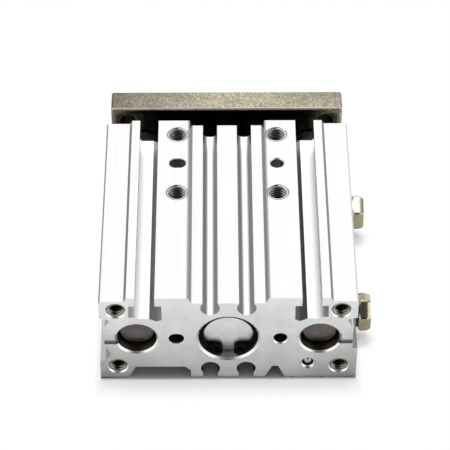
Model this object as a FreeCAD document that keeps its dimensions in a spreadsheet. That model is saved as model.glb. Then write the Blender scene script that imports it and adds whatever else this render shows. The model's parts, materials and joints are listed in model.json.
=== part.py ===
import FreeCAD, Part
import os
import sys
import math
import Sketcher

# Guided pneumatic cylinder, retracted.  Millimetres.  The origin is the centre of the rear
# mounting face, on the piston axis: X runs across the body, Y along the stroke towards the
# tooling plate, Z up from the underside to the T-slotted face.

SIZES = {
    # stroke and body
    "stroke": 30, "body_width": 58, "upper_width": 57.4, "body_height": 26, "edge_break": 0.35,
    # profile of the top face
    "strip_drop": 1, "strip_edge_x": 23.2, "strip_run": 0.6,
    "land_edge_x": 8.9, "centre_land_x": 8.2, "centre_land_drop": 1.6,
    # profile of the sides, heights from the piston axis or up from the underside
    "side_wall_x": 27.9, "side_pocket_x": 26.6, "side_pocket_slant": 0.6, "upper_block_z": 6.7,
    "side_wall_top_z": 3.3, "left_wall_low_z": 1.65, "left_pocket_z": 4.4, "left_ledge_rise": 5.4,
    "pocket_height": 1.2, "right_ledge_rise": 9.8,
    # profile of the underside
    "channel_outer_x": 22.8, "channel_inner_x": 8.5, "channel_depth": 3.75, "channel_slope": 1.8,
    "channel_corner": 1.3, "relief": 0.3, "notch_x": 10.6, "notch_top": 1.4, "notch_foot": 4.7,
    "notch_depth": 3.9,
    # T-slots and sensor grooves
    "slot_pitch": 37, "slot_neck": 4.4, "slot_width": 7.4, "slot_lip": 2.5, "slot_depth": 6.5,
    "slot_wing_depth": 6, "slot_floor_run": 0.9, "slot_corner_run": 2.6, "slot_corner_depth": 7.35,
    "slot_corner_heel": 6.8,
    "groove_pitch": 8.1, "groove_bore": 4.3, "groove_neck": 3.4, "groove_z": 9.85,
    # cylinder bore
    "bore": 12, "cover_seat": 13.4, "mouth_bevel": 0.45, "ring_groove": 14.2,
    "ring_groove_width": 1.1, "rear_ring_y": 1.75, "front_ring_y": 0.75,
    # guide bores
    "guide_pitch": 41, "guide_bore": 8.9, "bush_seat": 10, "bush_seat_depth": 26,
    "guide_bevel": 0.4, "vent_height": 3.4, "vent_depth": 0.6,
    # mounting holes, threaded ones at the thread's outside diameter
    "rear_pitch_x": 50, "rear_pitch_z": 18, "rear_thread": 4, "rear_thread_depth": 10,
    "thread_bevel": 0.35, "face_pitch_x": 23.3, "face_pitch_y": 20, "face_thread": 5,
    "face_thread_depth": 10, "face_bevel": 0.12, "face_hole": 4.3, "face_row_y": 5,
    "face_dowel_y": 15, "counterbore": 8, "counterbore_depth": 4.5, "dowel": 3,
    "rear_dowel_slot": 3.5, "face_dowel_slot": 4, "dowel_depth": 6, "dowel_bevel": 0.25,
    # air ports
    "port_rise": 6, "rear_port_y": 14.8, "front_port_y": 11, "port_thread": 5,
    "port_thread_depth": 5.5, "under_port_x": 18, "under_port_depth": 4.4, "cross_drill": 2.6,
    "passage_rise": 4.8, "passage_bore": 2.6, "passage_bevel": 0.45, "inlet": 2,
    "inlet_margin": 0.1,
    # guide rods and bushes
    "guide_rod": 8, "rod_recess": 2.5, "rod_bevel": 0.3, "front_bush": 12, "rear_bush": 8,
    "bush_inset": 0.5, "slide_gap": 0.02,
    # tooling plate
    "plate_width": 56, "plate_height": 22, "plate_thickness": 6.5, "plate_gap": 6.5,
    "plate_bevel": 0.4, "tool_pitch_x": 48, "tool_pitch_z": 14, "tool_thread": 4,
    # screws
    "guide_screw": 4, "guide_screw_head": 7, "guide_screw_head_height": 4,
    "guide_screw_length": 10, "guide_screw_hex": 3, "guide_screw_hex_depth": 2,
    "piston_screw": 3, "piston_screw_head": 5.5, "piston_screw_head_height": 3,
    "piston_screw_length": 10, "piston_screw_hex": 2.5, "piston_screw_hex_depth": 1.5,
    "head_gap": 0.3, "screw_gap": 0.15, "head_bevel": 0.35, "tap_runout": 2,
    # piston and rod
    "piston_rod": 6, "rod_spigot": 4, "piston_gap": 0.15, "swage_recess": 0.5, "swage_run": 1,
    "seal_groove": 8.8, "seal_width": 2.2, "seal_inset": 1.3, "ring_land": 1.75,
    "magnet_width": 2.4, "magnet_inset": 1.3, "magnet": 11.2, "seal_gap": 0.05, "fit_gap": 0.03,
    # bumpers that the piston meets
    "bumper_thickness": 1, "bumper_reach": 0.25, "bumper_gap": 0.3, "bumper_rod_gap": 0.5,
    # covers at the ends of the bore
    "head_cover_length": 4.1, "cover_gap": 0.03, "o_ring": 0.9, "o_ring_inset": 1.15,
    "o_ring_seat": 1.2, "cover_hollow": 8, "hollow_depth": 0.6,
    "rod_bush": 8, "rod_bush_length": 4.4, "rod_cover_wall": 0.55, "rod_cover_lip": 0.6,
    "rod_seal": 9.6, "rod_seal_width": 2.6, "rod_clearance": 0.1, "seal_lip": 0.5,
    # retaining rings
    "ring_thickness": 1, "ring_play": 0.05, "ring_inner": 11.2, "ring_offset": 0.65,
    "lug_height": 2.6, "lug_width": 4, "lug_z": 5.15, "lug_hole": 1.2, "ring_split": 2.6,
    # port plugs
    "plug_flats": 7.8, "plug_head": 2.8, "plug_bevel": 0.45, "gasket": 7,
    "gasket_thickness": 1, "stem_length": 3.6, "stem_gap": 0.03,
}
DRILL_POINT = 118
DRILL_TIP = 1 / math.tan(math.radians(DRILL_POINT / 2))  # cone depth for each unit of radius
BEVEL_RUN = math.sqrt(3)  # reach of a 30 degree bevel for each unit of its depth
HEX_CORNER = 2 / math.sqrt(3)  # width over corners for each unit over flats
PLUG_TURN = {"rear": 7, "front": -9}  # degrees from +Y to a flat's normal, as tightened


class Size:
    """A length with the spreadsheet expression that gives it."""

    def __init__(self, value, text):
        self.value = value
        self.text = text

    def __add__(self, other):
        other = as_size(other)
        return Size(self.value + other.value, "({} + {})".format(self.text, other.text))

    def __sub__(self, other):
        other = as_size(other)
        return Size(self.value - other.value, "({} - {})".format(self.text, other.text))

    def __mul__(self, factor):
        factor = as_size(factor)
        return Size(self.value * factor.value, "({} * {})".format(self.text, factor.text))

    def __truediv__(self, divisor):
        return self * (1 / divisor)

    def __neg__(self):
        return Size(-self.value, "(0 - {})".format(self.text))

    def __radd__(self, other):
        return as_size(other) + self

    def __rsub__(self, other):
        return as_size(other) - self

    def __rmul__(self, other):
        return self * other


def as_size(value):
    if isinstance(value, Size):
        return value
    return Size(float(value), "({:.9f})".format(value))


doc = FreeCAD.newDocument("guided_cylinder")
sheet = doc.addObject("Spreadsheet::Sheet", "Dims")


class Named:
    """The sheet's values by name."""


dim = Named()
for row, (alias, number) in enumerate(SIZES.items(), start=1):
    sheet.set("A{}".format(row), alias)
    sheet.set("B{}".format(row), str(number))
    sheet.setAlias("B{}".format(row), alias)
    setattr(dim, alias, Size(float(number), "Dims." + alias))
doc.recompute()

# lengths that follow from the driving sizes
rod_cover_length = (dim.rod_cover_lip * 2 + dim.rod_bush_length + dim.rod_cover_wall
                    + dim.rod_seal_width)
rear_shoulder = dim.rear_ring_y + dim.ring_groove_width + dim.head_cover_length
front_seat_depth = dim.front_ring_y + dim.ring_groove_width + rod_cover_length
piston_length = (dim.magnet_inset + dim.magnet_width + dim.ring_land + dim.seal_width
                 + dim.seal_inset)
piston_rear = rear_shoulder + dim.bumper_thickness + dim.bumper_reach
piston_front = piston_rear + piston_length
front_shoulder = piston_front + dim.stroke + dim.bumper_reach + dim.bumper_thickness
body_length = front_shoulder + front_seat_depth
half_height = dim.body_height / 2
half_width = dim.body_width / 2
guide_x = dim.guide_pitch / 2
plate_back = body_length + dim.plate_gap
centre_land_z = half_height - dim.centre_land_drop
cover_width = dim.cover_seat - 2 * dim.cover_gap
front_port_from_rear = body_length - dim.front_port_y
port_places = {"rear": dim.rear_port_y, "front": front_port_from_rear}
port_z = dim.port_rise - half_height
passage_z = dim.passage_rise - half_height
OVER = 5  # how far a cutting sketch stands out of the solid


# ---- sketch and feature helpers ------------------------------------------------------

def vector(x=0.0, y=0.0, z=0.0):
    return FreeCAD.Vector(x, y, z)


def new_body(name):
    body = doc.addObject("PartDesign::Body", name)
    body.Label = name
    return body


def origin_plane(body, role):
    return next(item for item in body.Origin.OriginFeatures if item.Role == role)


def new_sketch(body, name, role, height=0):
    """Sketch on an origin plane of the body, lifted along that plane's normal."""
    sketch = body.newObject("Sketcher::SketchObject", name)
    sketch.AttachmentSupport = (origin_plane(body, role), [""])
    sketch.MapMode = "FlatFace"
    height = as_size(height)
    if height.value:
        sketch.AttachmentOffset = FreeCAD.Placement(vector(z=height.value), FreeCAD.Rotation())
        sketch.setExpression("AttachmentOffset.Base.z", height.text)
    return sketch


def drive(sketch, kind, *places, size):
    """Add a driving constraint whose value is an expression of the sheet."""
    size = as_size(size)
    index = sketch.addConstraint(Sketcher.Constraint(kind, *places, size.value))
    sketch.setExpression("Constraints[{}]".format(index), size.text)


def hold(sketch, geometry, point, x, y):
    """Hold a point at a signed distance from the sketch's origin."""
    for kind, size, axis in (("DistanceX", as_size(x), -2), ("DistanceY", as_size(y), -1)):
        if abs(size.value) < 1e-9:
            sketch.addConstraint(Sketcher.Constraint("PointOnObject", geometry, point, axis))
        elif size.value > 0:
            drive(sketch, kind, -1, 1, geometry, point, size=size)
        else:
            drive(sketch, kind, geometry, point, -1, 1, size=-size)


def outline(sketch, corners):
    """Closed outline of straight edges through the given corners."""
    first = sketch.GeometryCount
    places = [vector(as_size(x).value, as_size(y).value) for x, y in corners]
    count = len(places)
    edges = [Part.LineSegment(places[i], places[(i + 1) % count]) for i in range(count)]
    sketch.addGeometry(edges, False)
    joins = [Sketcher.Constraint("Coincident", first + i, 2, first + (i + 1) % count, 1)
             for i in range(count)]
    sketch.addConstraint(joins)
    for i, (x, y) in enumerate(corners):
        hold(sketch, first + i, 1, x, y)


def circle(sketch, x, y, diameter):
    x, y, diameter = as_size(x), as_size(y), as_size(diameter)
    index = sketch.addGeometry(
        Part.Circle(vector(x.value, y.value), vector(z=1), diameter.value / 2), False)
    hold(sketch, index, 3, x, y)
    drive(sketch, "Diameter", index, size=diameter)


def obround(sketch, x, y, length, width):
    """Slot with round ends, lying along the sketch's first axis."""
    x, y, length, width = as_size(x), as_size(y), as_size(length), as_size(width)
    reach, radius = (length - width) / 2, width.value / 2
    left, right = vector(x.value - reach.value, y.value), vector(x.value + reach.value, y.value)
    up = vector(y=radius)
    turn, normal = math.pi / 2, vector(z=1)
    first = sketch.GeometryCount
    sketch.addGeometry([
        Part.ArcOfCircle(Part.Circle(right, normal, radius), -turn, turn),
        Part.LineSegment(right + up, left + up),
        Part.ArcOfCircle(Part.Circle(left, normal, radius), turn, 3 * turn),
        Part.LineSegment(left - up, right - up)], False)
    for i in range(4):
        joint = Sketcher.Constraint("Tangent", first + i, 2, first + (i + 1) % 4, 1)
        sketch.addConstraint(joint)
    hold(sketch, first, 3, x + reach, y)
    hold(sketch, first + 2, 3, x - reach, y)
    drive(sketch, "Radius", first, size=width / 2)


def set_size(feature, name, size):
    size = as_size(size)
    setattr(feature, name, size.value)
    feature.setExpression(name, size.text)


def pad(body, sketch, length, reverse=False):
    feature = body.newObject("PartDesign::Pad", sketch.Name + "_pad")
    feature.Profile = sketch
    feature.Reversed = reverse
    set_size(feature, "Length", length)
    sketch.Visibility = False
    doc.recompute()
    return feature


def pocket(body, sketch, depth=None, reverse=False):
    """Pocket of a given depth, or right through when no depth is given."""
    feature = body.newObject("PartDesign::Pocket", sketch.Name + "_pocket")
    feature.Profile = sketch
    feature.Reversed = reverse
    if depth is None:
        feature.Type = "ThroughAll"
    else:
        set_size(feature, "Length", depth)
    sketch.Visibility = False
    doc.recompute()
    return feature


def revolved(body, sketch, kind, axis="H_Axis"):
    """Revolution or Groove of a sketch about one of its own axes."""
    feature = body.newObject("PartDesign::" + kind, sketch.Name + "_" + kind.lower())
    feature.Profile = sketch
    feature.ReferenceAxis = (sketch, [axis])
    feature.Angle = 360
    sketch.Visibility = False
    doc.recompute()
    return feature


def drilled(body, sketch, diameter, bevel, depth=None, reverse=False):
    """Drilled holes with bevelled mouths at the circles of a sketch."""
    doc.recompute()
    feature = body.newObject("PartDesign::Hole", sketch.Name + "_holes")
    feature.Profile = sketch
    feature.ThreadType = "None"
    feature.Reversed = reverse
    if depth is None:
        feature.DepthType = "ThroughAll"
    else:
        feature.DepthType = "Dimension"
        feature.DrillPoint = "Angled"
        feature.DrillPointAngle = DRILL_POINT
        set_size(feature, "Depth", depth)
    set_size(feature, "Diameter", diameter)
    feature.HoleCutType = "Countersink"
    feature.HoleCutCustomValues = True
    set_size(feature, "HoleCutDiameter", diameter + 2 * bevel)
    feature.HoleCutCountersinkAngle = 90
    sketch.Visibility = False
    doc.recompute()
    return feature


def mirrored(body, features, role="YZ_Plane"):
    feature = body.newObject("PartDesign::Mirrored", features[0].Name + "_mirrored")
    feature.Originals = features
    feature.MirrorPlane = (origin_plane(body, role), [""])
    body.Tip = feature
    doc.recompute()
    return feature


def place(body, x=0, y=0, z=0):
    sizes = {"x": as_size(x), "y": as_size(y), "z": as_size(z)}
    body.Placement.Base = vector(*(size.value for size in sizes.values()))
    for axis, size in sizes.items():
        body.setExpression("Placement.Base." + axis, size.text)


def turned(name, profile, x=0, y=0):
    """Part turned about Y: the profile is its half section as (distance along Y, radius)."""
    body = new_body(name)
    sketch = new_sketch(body, name + "_section", "YZ_Plane")
    outline(sketch, profile)
    revolved(body, sketch, "Revolution")
    place(body, x, y)
    return body


def tube(length, inner, outer):
    return [(0, inner), (0, outer), (length, outer), (length, inner)]


def hexagon(sketch, flats, turn):
    """Regular hexagon about the sketch's origin; turn is the angle of a flat's normal."""
    corner = flats * HEX_CORNER / 2
    angles = [math.radians(turn + 30 + 60 * i) for i in range(6)]
    outline(sketch, [(corner * math.cos(angle), corner * math.sin(angle)) for angle in angles])


# ---- body: one extrusion, then its grooves, bores and holes ---------------------------

def body_outline():
    """Corners of the extrusion's section, clockwise from the top left."""
    upper_x = dim.upper_width / 2
    strip_z = half_height - dim.strip_drop
    raised = dim.strip_edge_x - dim.strip_run
    pocket_top = dim.upper_block_z - dim.side_pocket_slant
    pocket_foot = pocket_top - dim.side_pocket_slant
    left_ledge = dim.left_ledge_rise - half_height
    right_ledge = dim.right_ledge_rise - half_height
    channel_top = dim.channel_depth - half_height
    relief_z = dim.relief - half_height
    floor_x = dim.channel_inner_x + dim.channel_corner
    edge = dim.edge_break
    top = [
        (-upper_x, strip_z - edge), (edge - upper_x, strip_z), (-dim.strip_edge_x, strip_z),
        (-raised, half_height), (-dim.land_edge_x, half_height),
        (-dim.centre_land_x, centre_land_z), (dim.centre_land_x, centre_land_z),
        (dim.land_edge_x, half_height), (raised, half_height), (dim.strip_edge_x, strip_z),
        (upper_x - edge, strip_z), (upper_x, strip_z - edge)]
    right = [
        (upper_x, dim.upper_block_z), (dim.side_pocket_x, pocket_top),
        (dim.side_pocket_x, pocket_foot), (dim.side_wall_x, dim.side_wall_top_z),
        (dim.side_wall_x, right_ledge), (half_width, right_ledge),
        (half_width, edge - half_height), (half_width - edge, -half_height)]
    underside = [
        (dim.notch_x + dim.notch_foot / 2, -half_height),
        (dim.notch_x + dim.notch_top / 2, dim.notch_depth - half_height),
        (dim.notch_x - dim.notch_top / 2, dim.notch_depth - half_height),
        (dim.notch_x - dim.notch_foot / 2, relief_z),
        (-dim.channel_inner_x, relief_z),
        (-dim.channel_inner_x, channel_top - dim.channel_corner),
        (-floor_x, channel_top),
        (dim.channel_slope - dim.channel_outer_x, channel_top),
        (-dim.channel_outer_x, -half_height)]
    left = [
        (edge - half_width, -half_height), (-half_width, edge - half_height),
        (-half_width, left_ledge),
        (-dim.side_pocket_x, -dim.left_pocket_z - dim.pocket_height),
        (-dim.side_pocket_x, -dim.left_pocket_z), (-dim.side_wall_x, -dim.left_wall_low_z),
        (-dim.side_wall_x, dim.side_wall_top_z), (-dim.side_pocket_x, pocket_foot),
        (-dim.side_pocket_x, pocket_top), (-upper_x, dim.upper_block_z)]
    return top + right + underside + left


def cut_t_slots(body):
    """Slots for square nuts; the inner corner of each runs down into a clean-out groove."""
    sketch = new_sketch(body, "t_slot", "XZ_Plane")
    middle = dim.slot_pitch / 2
    neck, wing = dim.slot_neck / 2, dim.slot_width / 2
    lip_z = half_height - dim.slot_lip
    floor_z = half_height - dim.slot_depth
    outline(sketch, [
        (middle - neck, half_height + OVER), (middle - neck, lip_z), (middle - wing, lip_z),
        (middle - wing, half_height - dim.slot_corner_heel),
        (middle - dim.slot_corner_run, half_height - dim.slot_corner_depth),
        (middle - dim.slot_floor_run, floor_z), (middle + neck, floor_z),
        (middle + neck, half_height - dim.slot_wing_depth),
        (middle + wing, half_height - dim.slot_wing_depth), (middle + wing, lip_z),
        (middle + neck, lip_z), (middle + neck, half_height + OVER)])
    mirrored(body, [pocket(body, sketch)])


def cut_sensor_grooves(body):
    """Round grooves with a narrower neck: two in the top, two in the underside."""
    sketch = new_sketch(body, "sensor_groove", "XZ_Plane")
    x, z = dim.groove_pitch / 2, dim.groove_z
    radius, neck = dim.groove_bore / 2, dim.groove_neck / 2
    angle = math.acos(neck.value / radius.value)
    rise = radius.value * math.sin(angle)
    centre = vector(x.value, z.value)
    left = centre + vector(-neck.value, rise)
    right = centre + vector(neck.value, rise)
    up = vector(y=dim.body_height.value / 2 + OVER - z.value - rise)
    sketch.addGeometry([
        Part.ArcOfCircle(Part.Circle(centre, vector(z=1), radius.value), math.pi - angle,
                         2 * math.pi + angle),
        Part.LineSegment(right, right + up), Part.LineSegment(right + up, left + up),
        Part.LineSegment(left + up, left)], False)
    sketch.addConstraint([Sketcher.Constraint("Coincident", i, 2, (i + 1) % 4, 1)
                          for i in range(4)])
    sketch.addConstraint([Sketcher.Constraint("Vertical", 1), Sketcher.Constraint("Vertical", 3),
                          Sketcher.Constraint("Horizontal", 2)])
    hold(sketch, 0, 3, x, z)
    drive(sketch, "Radius", 0, size=radius)
    drive(sketch, "DistanceX", 3, 1, 0, 3, size=neck)
    drive(sketch, "DistanceX", 0, 3, 1, 1, size=neck)
    drive(sketch, "DistanceY", -1, 1, 2, 1, size=half_height + OVER)
    groove = pocket(body, sketch)
    four = body.newObject("PartDesign::MultiTransform", "sensor_grooves")
    four.Originals = [groove]
    steps = []
    for role in ("YZ_Plane", "XY_Plane"):
        step = body.newObject("PartDesign::Mirrored", "sensor_groove_across_" + role[:2].lower())
        step.MirrorPlane = (origin_plane(body, role), [""])
        steps.append(step)
    four.Transformations = steps
    body.Tip = four
    doc.recompute()


def cut_cylinder_bore(body):
    """Bore with a seat and a ring groove for the cover at each end."""
    sketch = new_sketch(body, "cylinder_bore", "YZ_Plane")
    seat, bore, groove = dim.cover_seat / 2, dim.bore / 2, dim.ring_groove / 2
    bevel = dim.mouth_bevel
    rear_ring_end = dim.rear_ring_y + dim.ring_groove_width
    front_ring_end = body_length - dim.front_ring_y
    front_ring_start = front_ring_end - dim.ring_groove_width
    outline(sketch, [
        (-OVER, 0), (-OVER, seat + bevel), (0, seat + bevel), (bevel, seat),
        (dim.rear_ring_y, seat), (dim.rear_ring_y, groove), (rear_ring_end, groove),
        (rear_ring_end, seat), (rear_shoulder, seat), (rear_shoulder, bore),
        (front_shoulder, bore), (front_shoulder, seat), (front_ring_start, seat),
        (front_ring_start, groove), (front_ring_end, groove), (front_ring_end, seat),
        (body_length - bevel, seat), (body_length, seat + bevel),
        (body_length + OVER, seat + bevel), (body_length + OVER, 0)])
    revolved(body, sketch, "Groove")


def cut_guide_bores(body):
    """Guide bores, wider at the front where the bushes sit, with a breathing slot each."""
    sketch = new_sketch(body, "guide_bore", "YZ_Plane", guide_x)
    rear, seat, bevel = dim.guide_bore / 2, dim.bush_seat / 2, dim.guide_bevel
    seat_y = body_length - dim.bush_seat_depth
    outline(sketch, [
        (-OVER, 0), (-OVER, rear + bevel), (0, rear + bevel), (bevel, rear), (seat_y, rear),
        (seat_y, seat), (body_length - bevel, seat), (body_length, seat + bevel),
        (body_length + OVER, seat + bevel), (body_length + OVER, 0)])
    bore = revolved(body, sketch, "Groove")
    vent = new_sketch(body, "breathing_slot", "XZ_Plane")
    half = dim.vent_height / 2
    outline(vent, [(guide_x, -half), (half_width + OVER, -half), (half_width + OVER, half),
                   (guide_x, half)])
    mirrored(body, [bore, pocket(body, vent, dim.vent_depth)])


def drill_mounting_holes(body):
    """Threaded holes at the rear and in the slotted face, their counterbores and dowels."""
    rear = new_sketch(body, "rear_holes", "XZ_Plane")
    for across in (-1, 1):
        for up in (-1, 1):
            circle(rear, across * dim.rear_pitch_x / 2, up * dim.rear_pitch_z / 2,
                   dim.rear_thread)
    drilled(body, rear, dim.rear_thread, dim.thread_bevel, dim.rear_thread_depth)

    row_front = body_length - dim.face_row_y
    rows = (row_front, row_front - dim.face_pitch_y)
    face = new_sketch(body, "face_threads", "XY_Plane", half_height)
    through = new_sketch(body, "face_holes", "XY_Plane", half_height)
    below = new_sketch(body, "counterbores", "XY_Plane", -half_height)
    for across in (-1, 1):
        for row_y in rows:
            circle(face, across * dim.face_pitch_x / 2, row_y, dim.face_thread)
            circle(through, across * dim.face_pitch_x / 2, row_y, dim.face_hole)
            circle(below, across * dim.face_pitch_x / 2, row_y, dim.counterbore)
    drilled(body, face, dim.face_thread, dim.face_bevel, dim.face_thread_depth)
    pocket(body, through)
    pocket(body, below, dim.counterbore_depth, reverse=True)

    dowel_x = dim.face_pitch_x / 2
    dowel_y = body_length - dim.face_dowel_y
    for name, role, height, second, length in (
            ("rear_dowel", "XZ_Plane", 0, 0, dim.rear_dowel_slot),
            ("face_dowel", "XY_Plane", half_height, dowel_y, dim.face_dowel_slot)):
        hole = new_sketch(body, name + "_hole", role, height)
        circle(hole, dowel_x, second, dim.dowel)
        drilled(body, hole, dim.dowel, dim.dowel_bevel, dim.dowel_depth)
        slot = new_sketch(body, name + "_slot", role, height)
        obround(slot, -dowel_x, second, length, dim.dowel)
        pocket(body, slot, dim.dowel_depth)
        lead_in = new_sketch(body, name + "_slot_mouth", role, height)
        obround(lead_in, -dowel_x, second, length + dim.dowel_bevel,
                dim.dowel + dim.dowel_bevel)
        pocket(body, lead_in, dim.dowel_bevel / 2)


def drill_ports(body):
    """Two side ports and two underside ports, joined to the bore by drilled passages."""
    side = new_sketch(body, "side_ports", "YZ_Plane", half_width)
    under = new_sketch(body, "underside_ports", "XY_Plane", -half_height)
    cross = new_sketch(body, "cross_drillings", "YZ_Plane", half_width)
    for port_y in port_places.values():
        circle(side, port_y, port_z, dim.port_thread)
        circle(under, dim.under_port_x, port_y, dim.port_thread)
        circle(cross, port_y, port_z, dim.cross_drill)
    drilled(body, side, dim.port_thread, dim.thread_bevel, dim.port_thread_depth)
    drilled(body, under, dim.port_thread, dim.thread_bevel, dim.under_port_depth, reverse=True)
    pocket(body, cross, half_width - dim.under_port_x + dim.cross_drill / 2)

    passage = new_sketch(body, "rear_passage", "XZ_Plane")
    circle(passage, dim.under_port_x, passage_z, dim.passage_bore)
    drilled(body, passage, dim.passage_bore, dim.passage_bevel, dim.rear_port_y)

    # the inlets climb from the passage, under the guide bore, into the cylinder bore
    setback = dim.inlet / 2 + dim.inlet_margin
    inlet_places = {"rear_inlet": rear_shoulder + setback,
                    "front_inlet": front_shoulder - setback}
    climb = math.atan2(-passage_z.value, dim.under_port_x.value)
    for name, inlet_y in inlet_places.items():
        sketch = new_sketch(body, name, "XZ_Plane", -inlet_y)
        across = (dim.inlet / 2 * math.sin(climb), dim.inlet / 2 * math.cos(climb))
        low = (dim.under_port_x, passage_z)
        high = (dim.under_port_x / 4, passage_z / 4)
        outline(sketch, [low, high, (high[0] + across[0], high[1] + across[1]),
                         (low[0] + across[0], low[1] + across[1])])
        revolved(body, sketch, "Groove", "Edge1")


def make_body():
    body = new_body("body")
    section = new_sketch(body, "extrusion_section", "XZ_Plane")
    outline(section, body_outline())
    pad(body, section, body_length, reverse=True)
    cut_t_slots(body)
    cut_sensor_grooves(body)
    cut_cylinder_bore(body)
    cut_guide_bores(body)
    drill_mounting_holes(body)
    drill_ports(body)
    return body


# ---- moving carriage ----------------------------------------------------------------

def head_recess(head, height):
    """Diameter and depth of the recess that takes a screw's head."""
    return head + 2 * dim.head_gap, height + dim.head_gap


def make_tooling_plate():
    """Steel plate across the three rods, with four threaded holes for the tooling."""
    body = new_body("tooling_plate")
    section = new_sketch(body, "plate_section", "XZ_Plane")
    half_x, half_z = dim.plate_width / 2, dim.plate_height / 2
    outline(section, [(-half_x, -half_z), (half_x, -half_z), (half_x, half_z),
                      (-half_x, half_z)])
    block = pad(body, section, dim.plate_thickness, reverse=True)
    bevel = body.newObject("PartDesign::Chamfer", "plate_edges")
    bevel.Base = (block, ["Edge{}".format(i + 1) for i in range(len(block.Shape.Edges))])
    set_size(bevel, "Size", dim.plate_bevel)
    doc.recompute()

    tool = new_sketch(body, "tool_holes", "XZ_Plane", -dim.plate_thickness)
    for across in (-1, 1):
        for up in (-1, 1):
            circle(tool, across * dim.tool_pitch_x / 2, up * dim.tool_pitch_z / 2,
                   dim.tool_thread)
    drilled(body, tool, dim.tool_thread, dim.thread_bevel, reverse=True)
    lead_in = new_sketch(body, "tool_hole_mouths", "XZ_Plane")
    for across in (-1, 1):
        for up in (-1, 1):
            circle(lead_in, across * dim.tool_pitch_x / 2, up * dim.tool_pitch_z / 2,
                   dim.tool_thread + dim.thread_bevel)
    pocket(body, lead_in, dim.thread_bevel / 2)

    for name, places, thread, head, height in (
            ("guide_screw", (-guide_x, guide_x), dim.guide_screw, dim.guide_screw_head,
             dim.guide_screw_head_height),
            ("piston_screw", (0,), dim.piston_screw, dim.piston_screw_head,
             dim.piston_screw_head_height)):
        wide, deep = head_recess(head, height)
        hole = new_sketch(body, name + "_holes", "XZ_Plane")
        seat = new_sketch(body, name + "_recesses", "XZ_Plane", -dim.plate_thickness)
        for x in places:
            circle(hole, x, 0, thread + 2 * dim.screw_gap)
            circle(seat, x, 0, wide)
        pocket(body, hole)
        pocket(body, seat, deep, reverse=True)
    place(body, y=plate_back)
    return body


def screw_reach(length, head_height):
    """How far a plate screw reaches past the plate's back face into its rod."""
    return length - (dim.plate_thickness - head_recess(head_height, head_height)[1])


def threaded_end(length, outer, bevel, core, hole_depth):
    """Half section of a rod with a blind screw hole in its far end."""
    return [(0, 0), (0, outer - bevel), (bevel, outer), (length - bevel, outer),
            (length, outer - bevel), (length, core), (length - hole_depth, core),
            (length - hole_depth - core * DRILL_TIP, 0)]


def make_guide_rods():
    length = plate_back - dim.rod_recess
    reach = (screw_reach(dim.guide_screw_length, dim.guide_screw_head_height)
             + dim.tap_runout)
    core = dim.guide_screw / 2 + dim.slide_gap
    profile = threaded_end(length, dim.guide_rod / 2, dim.rod_bevel, core, reach)
    return [turned("guide_rod_" + side, profile, x, dim.rod_recess)
            for side, x in (("left", -guide_x), ("right", guide_x))]


def make_piston_rod():
    """Rod with a spigot through the piston; the spigot's end is swaged in the recess."""
    spigot_y = piston_rear + dim.swage_recess
    length = plate_back - spigot_y
    shoulder = piston_front - spigot_y
    rod, spigot = dim.piston_rod / 2, dim.rod_spigot / 2
    core = dim.piston_screw / 2 + dim.slide_gap
    hole = (screw_reach(dim.piston_screw_length, dim.piston_screw_head_height)
            + dim.tap_runout)
    profile = [(0, 0), (0, spigot), (shoulder, spigot), (shoulder, rod),
               (length - dim.rod_bevel, rod), (length, rod - dim.rod_bevel), (length, core),
               (length - hole, core), (length - hole - core * DRILL_TIP, 0)]
    return turned("piston_rod", profile, y=spigot_y)


def make_piston():
    """Piston with a groove for the seal, one for the magnet and a recessed rear face."""
    outer = dim.bore / 2 - dim.piston_gap
    floor = dim.seal_groove / 2
    spigot = dim.rod_spigot / 2 + dim.fit_gap
    magnet_end = dim.magnet_inset + dim.magnet_width
    seal_end = piston_length - dim.seal_inset
    seal_start = seal_end - dim.seal_width
    recess, swage = dim.swage_recess, spigot + dim.swage_run
    edge = dim.rod_bevel
    profile = [
        (recess, spigot), (recess, swage), (0, swage),
        (0, outer - edge), (edge, outer), (dim.magnet_inset, outer),
        (dim.magnet_inset, floor), (magnet_end, floor), (magnet_end, outer),
        (seal_start, outer), (seal_start, floor), (seal_end, floor), (seal_end, outer),
        (piston_length - edge, outer), (piston_length, outer - edge),
        (piston_length, spigot)]
    return turned("piston", profile, y=piston_rear)


def make_piston_rings():
    """Lip seal and magnet ring in the piston's grooves."""
    play = dim.fit_gap
    floor, lip = dim.seal_groove / 2 + play, dim.bore / 2 - dim.seal_gap
    seal_y = piston_front - dim.seal_inset - dim.seal_width
    width = dim.seal_width - 2 * play
    notch = dim.seal_lip
    middle = (floor + lip) / 2
    seal = turned("piston_seal", [
        (0, floor), (0, lip - notch), (notch, lip - notch / 2), (width, lip),
        (width, lip - notch / 2), (width - notch, middle), (width, floor + notch / 2),
        (width, floor)], y=seal_y + play)
    magnet = turned("magnet_ring", tube(dim.magnet_width - 2 * play, floor, dim.magnet / 2),
                    y=piston_rear + dim.magnet_inset + play)
    return [seal, magnet]


def cap_screw(name, thread, head, height, length, flats, socket_depth, x):
    """Socket head cap screw, its head at the front of the plate."""
    seat_depth = head_recess(head, height)[1]
    bevel = dim.head_bevel
    profile = [(0, 0), (0, thread / 2 - bevel), (bevel, thread / 2), (length, thread / 2),
               (length, head / 2), (length + height - bevel, head / 2),
               (length + height, head / 2 - bevel), (length + height, 0)]
    body = turned(name, profile, x, plate_back + dim.plate_thickness - seat_depth - length)
    socket = new_sketch(body, name + "_socket", "XZ_Plane", -(length + height))
    hexagon(socket, flats, 30)
    pocket(body, socket, socket_depth, reverse=True)
    return body


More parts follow.
